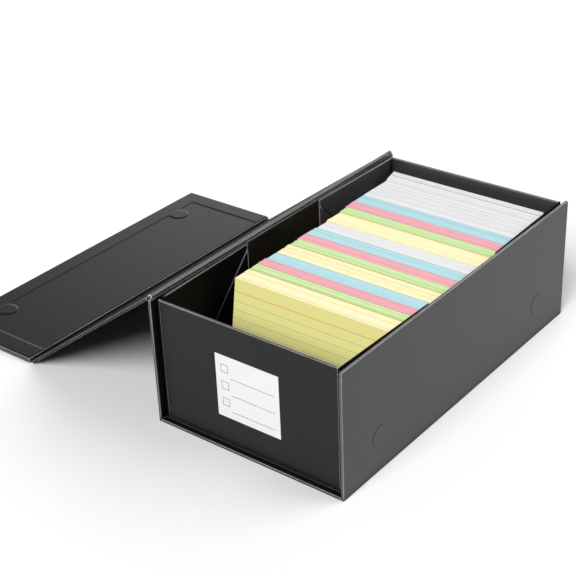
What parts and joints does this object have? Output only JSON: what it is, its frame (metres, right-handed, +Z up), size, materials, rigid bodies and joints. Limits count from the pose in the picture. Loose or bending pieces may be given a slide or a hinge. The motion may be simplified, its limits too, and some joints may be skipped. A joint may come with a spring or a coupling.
{
  "type": "index card box",
  "caption": "Long rigid card storage box of black covered board, with folding corner gussets, a hinged lid with a magnetic flap, an end label, and packs of coloured ruled cards inside.",
  "frame": {"origin": "centre of the box's underside, on the surface that it stands on", "axes": "+X to the right of the label end and away from the open lid, +Y from the label end to the far end, +Z up"},
  "size_m": [0.4331, 0.326, 0.1136],
  "materials": {
    "leatherette": "black leather-grain covering paper over board, satin, with light wear on its turned edges",
    "lining_paper": "smooth black lining paper over board, low sheen",
    "magnet_steel": "plain plated disc, hidden in the board",
    "label_paper": "white paper label, matt, with plain check boxes and writing lines",
    "yellow_card": "pale yellow uncoated card, ruled",
    "green_card": "pale green uncoated card, ruled",
    "pink_card": "pink uncoated card, ruled",
    "blue_card": "pale blue uncoated card, ruled",
    "white_card": "white uncoated card, ruled"
  },
  "bodies": {
    "root": {"bottom_board": "leatherette", "left_wall": "leatherette", "right_wall": "leatherette", "left_base_hinge": "leatherette", "right_base_hinge": "leatherette", "lid_hinge": "leatherette", "near_end_panel": "leatherette", "far_end_panel": "leatherette", "near_left_lower_gusset": "leatherette", "near_left_upper_gusset": "leatherette", "near_right_lower_gusset": "leatherette", "near_right_upper_gusset": "leatherette", "far_left_lower_gusset": "leatherette", "far_left_upper_gusset": "leatherette", "far_right_lower_gusset": "leatherette", "far_right_upper_gusset": "leatherette", "floor_lining": "lining_paper", "left_wall_lining": "lining_paper", "right_wall_lining": "lining_paper", "near_panel_hinge": "lining_paper", "far_panel_hinge": "lining_paper", "wall_discs": "magnet_steel", "near_end_label": "label_paper"},
    "lid": {"lid_board": "leatherette", "lid_lining": "lining_paper", "flap_hinge": "leatherette"},
    "flap": {"flap_outer_board": "leatherette", "flap_inner_board": "leatherette", "flap_lining": "leatherette", "flap_magnets": "magnet_steel", "flap_hinge_cloth": "leatherette"},
    "front_yellow_cards": {"front_yellow_cards": "yellow_card"},
    "front_green_cards": {"front_green_cards": "green_card"},
    "front_pink_cards": {"front_pink_cards": "pink_card"},
    "front_blue_cards": {"front_blue_cards": "blue_card"},
    "middle_yellow_cards": {"middle_yellow_cards": "yellow_card"},
    "middle_green_cards": {"middle_green_cards": "green_card"},
    "middle_pink_cards": {"middle_pink_cards": "pink_card"},
    "middle_blue_cards": {"middle_blue_cards": "blue_card"},
    "middle_white_cards": {"middle_white_cards": "white_card"},
    "back_yellow_cards": {"back_yellow_cards": "yellow_card"},
    "back_green_cards": {"back_green_cards": "green_card"},
    "back_pink_cards": {"back_pink_cards": "pink_card"},
    "back_blue_cards": {"back_blue_cards": "blue_card"},
    "back_white_cards": {"back_white_cards": "white_card"},
    "last_white_cards": {"last_white_cards": "white_card"}
  },
  "joints": [
    {"name": "lid_hinge_turn", "type": "hinge", "parent": "root", "child": "lid", "pos_m": [-0.0895, 0, 0.11181], "axis": [0, -1, 0], "range_deg": [-216.86, 0]},
    {"name": "flap_hinge_turn", "type": "hinge", "parent": "lid", "child": "flap", "pos_m": [-0.23697, 0, 0.0006], "axis": [0, -1, 0], "range_deg": [-53.1, 36.9]},
    {"name": "front_yellow_lift", "type": "slide", "parent": "root", "child": "front_yellow_cards", "axis": [0, 0.165, 0.9863], "range_m": [0, 0.12]},
    {"name": "front_green_lift", "type": "slide", "parent": "root", "child": "front_green_cards", "axis": [0, 0.165, 0.9863], "range_m": [0, 0.12]},
    {"name": "front_pink_lift", "type": "slide", "parent": "root", "child": "front_pink_cards", "axis": [0, 0.165, 0.9863], "range_m": [0, 0.12]},
    {"name": "front_blue_lift", "type": "slide", "parent": "root", "child": "front_blue_cards", "axis": [0, 0.165, 0.9863], "range_m": [0, 0.12]},
    {"name": "middle_yellow_lift", "type": "slide", "parent": "root", "child": "middle_yellow_cards", "axis": [0, 0.165, 0.9863], "range_m": [0, 0.12]},
    {"name": "middle_green_lift", "type": "slide", "parent": "root", "child": "middle_green_cards", "axis": [0, 0.165, 0.9863], "range_m": [0, 0.12]},
    {"name": "middle_pink_lift", "type": "slide", "parent": "root", "child": "middle_pink_cards", "axis": [0, 0.165, 0.9863], "range_m": [0, 0.12]},
    {"name": "middle_blue_lift", "type": "slide", "parent": "root", "child": "middle_blue_cards", "axis": [0, 0.165, 0.9863], "range_m": [0, 0.12]},
    {"name": "middle_white_lift", "type": "slide", "parent": "root", "child": "middle_white_cards", "axis": [0, 0.165, 0.9863], "range_m": [0, 0.12]},
    {"name": "back_yellow_lift", "type": "slide", "parent": "root", "child": "back_yellow_cards", "axis": [0, 0.165, 0.9863], "range_m": [0, 0.12]},
    {"name": "back_green_lift", "type": "slide", "parent": "root", "child": "back_green_cards", "axis": [0, 0.165, 0.9863], "range_m": [0, 0.12]},
    {"name": "back_pink_lift", "type": "slide", "parent": "root", "child": "back_pink_cards", "axis": [0, 0.165, 0.9863], "range_m": [0, 0.12]},
    {"name": "back_blue_lift", "type": "slide", "parent": "root", "child": "back_blue_cards", "axis": [0, 0.165, 0.9863], "range_m": [0, 0.12]},
    {"name": "back_white_lift", "type": "slide", "parent": "root", "child": "back_white_cards", "axis": [0, 0.165, 0.9863], "range_m": [0, 0.12]},
    {"name": "last_white_lift", "type": "slide", "parent": "root", "child": "last_white_cards", "axis": [0, 0.165, 0.9863], "range_m": [0, 0.12]}
  ]
}
